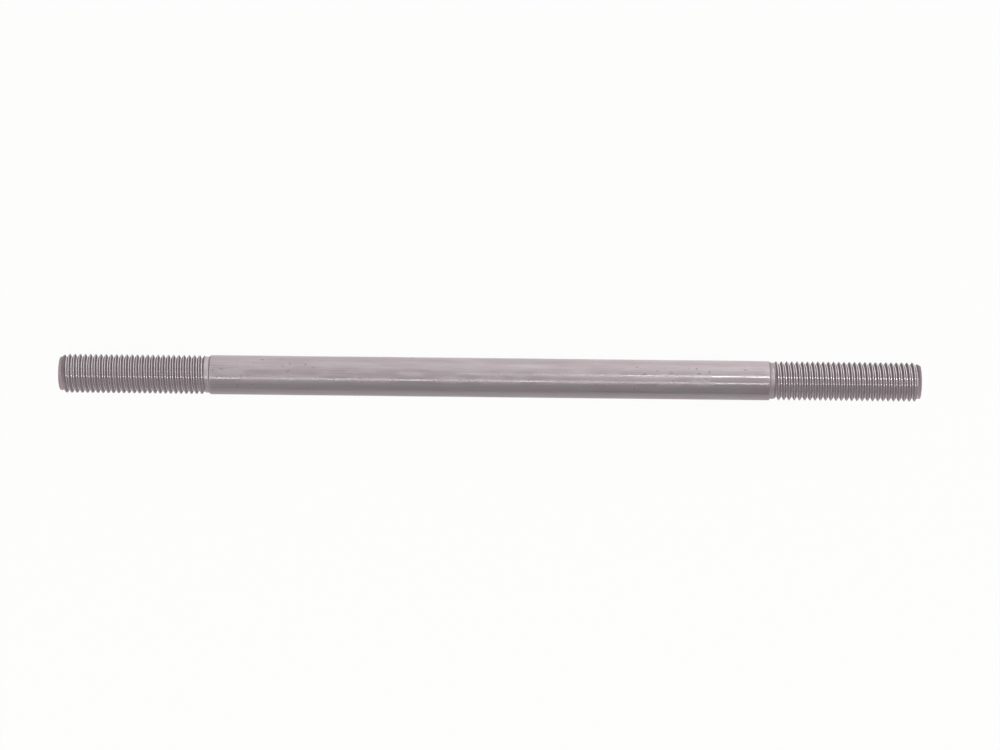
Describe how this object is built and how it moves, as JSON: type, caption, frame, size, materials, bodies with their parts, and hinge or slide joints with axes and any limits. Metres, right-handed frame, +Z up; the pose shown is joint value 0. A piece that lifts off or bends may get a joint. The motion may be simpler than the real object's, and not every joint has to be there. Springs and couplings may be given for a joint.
{
  "type": "threaded rod",
  "caption": "Double-ended threaded rod: a plain round steel shank with a fine right-hand thread, a relief neck and a chamfered point at each end.",
  "frame": {"origin": "middle of the rod on its axis, halfway between the two end faces", "axes": "+X along the rod, from the left threaded end in the picture towards the right one; +Z up, towards the viewer of the picture when the rod lies on a table"},
  "size_m": [0.1746, 0.008, 0.008],
  "materials": {
    "steel": "bright drawn steel, left plain, with fine lengthwise draw lines and a few small dark pits"
  },
  "bodies": {
    "root": {"threaded_rod": "steel"}
  },
  "joints": []
}
